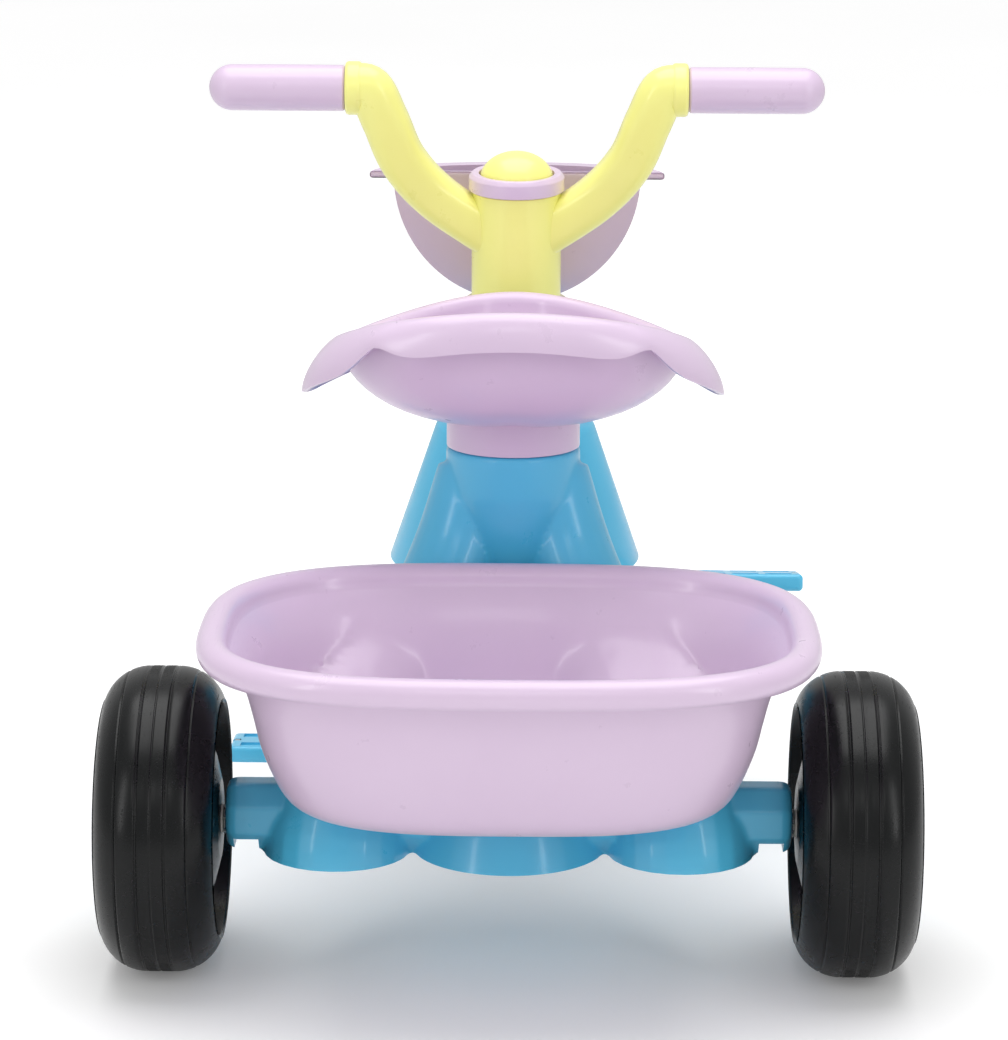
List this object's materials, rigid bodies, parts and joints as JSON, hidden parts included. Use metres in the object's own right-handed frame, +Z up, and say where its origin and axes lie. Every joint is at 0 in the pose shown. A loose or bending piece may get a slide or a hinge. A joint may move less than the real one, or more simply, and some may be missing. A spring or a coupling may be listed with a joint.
{
  "type": "children's tricycle",
  "caption": "Ride-on toddler tricycle in moulded plastic: bucket seat, raked steering with a press horn button, pedals on the front wheel and an open tub basket behind.",
  "frame": {"origin": "on the ground, under the middle of the overall box", "axes": "+Y forward, from the basket to the front wheel; +X to the rider's right; +Z up"},
  "size_m": [0.49, 0.6086, 0.5214],
  "materials": {
    "lilac_plastic": "glossy moulded polypropylene, lilac",
    "sky_blue_plastic": "glossy moulded polypropylene, sky blue",
    "yellow_plastic": "glossy moulded polypropylene, pale yellow",
    "black_tyre_plastic": "satin blow-moulded polyethylene, black",
    "white_nylon": "satin nylon",
    "zinc_plated_steel": "bright zinc plate",
    "bellows_rubber": "matt"
  },
  "bodies": {
    "frame": {"main_frame": "sky_blue_plastic", "head_bush_upper": "white_nylon", "head_bush_lower": "white_nylon", "rear_axle": "zinc_plated_steel", "rear_washer_left": "zinc_plated_steel", "rear_washer_right": "zinc_plated_steel", "rear_cap_left": "white_nylon", "rear_cap_right": "white_nylon", "basket": "lilac_plastic", "basket_screw_1": "zinc_plated_steel", "basket_screw_2": "zinc_plated_steel", "basket_screw_3": "zinc_plated_steel", "seat": "lilac_plastic", "seat_screw": "zinc_plated_steel"},
    "steering": {"fork": "sky_blue_plastic", "fork_clamp_left": "sky_blue_plastic", "fork_clamp_right": "sky_blue_plastic", "clamp_screw_left_front": "zinc_plated_steel", "clamp_screw_left_rear": "zinc_plated_steel", "clamp_screw_right_front": "zinc_plated_steel", "clamp_screw_right_rear": "zinc_plated_steel", "handlebar": "yellow_plastic", "grip_left": "lilac_plastic", "grip_right": "lilac_plastic", "cowl": "lilac_plastic", "horn_bellows": "bellows_rubber", "steering_bolt": "zinc_plated_steel", "steering_washer": "zinc_plated_steel", "steering_nut": "zinc_plated_steel"},
    "horn": {"horn_button": "yellow_plastic"},
    "front_wheel": {"front_wheel": "black_tyre_plastic", "front_hub": "white_nylon", "crank": "zinc_plated_steel", "pedal_stop_left": "zinc_plated_steel", "pedal_stop_right": "zinc_plated_steel"},
    "pedal_left": {"pedal_left": "sky_blue_plastic"},
    "pedal_right": {"pedal_right": "sky_blue_plastic"},
    "rear_wheel_left": {"rear_wheel_left": "black_tyre_plastic", "rear_hub_left": "white_nylon"},
    "rear_wheel_right": {"rear_wheel_right": "black_tyre_plastic", "rear_hub_right": "white_nylon"}
  },
  "joints": [
    {"name": "steering_turn", "type": "hinge", "parent": "frame", "child": "steering", "pos_m": [0, 0.2045, 0.1], "axis": [0, -0.0872, 0.9962], "range_deg": [-35, 35]},
    {"name": "front_wheel_spin", "type": "hinge", "parent": "steering", "child": "front_wheel", "pos_m": [0, 0.2045, 0.1], "axis": [1, 0, 0], "continuous": true},
    {"name": "pedal_left_spin", "type": "hinge", "parent": "front_wheel", "child": "pedal_left", "pos_m": [-0.146, 0.20999, 0.03724], "axis": [1, 0, 0], "continuous": true},
    {"name": "pedal_right_spin", "type": "hinge", "parent": "front_wheel", "child": "pedal_right", "pos_m": [0.146, 0.19901, 0.16276], "axis": [1, 0, 0], "continuous": true},
    {"name": "rear_wheel_left_spin", "type": "hinge", "parent": "frame", "child": "rear_wheel_left", "pos_m": [-0.209, -0.1255, 0.0925], "axis": [1, 0, 0], "continuous": true},
    {"name": "rear_wheel_right_spin", "type": "hinge", "parent": "frame", "child": "rear_wheel_right", "pos_m": [0.209, -0.1255, 0.0925], "axis": [1, 0, 0], "continuous": true},
    {"name": "horn_press", "type": "slide", "parent": "steering", "child": "horn", "axis": [0, 0.0872, -0.9962], "range_m": [0, 0.004], "stiffness_N_per_m": 600}
  ]
}
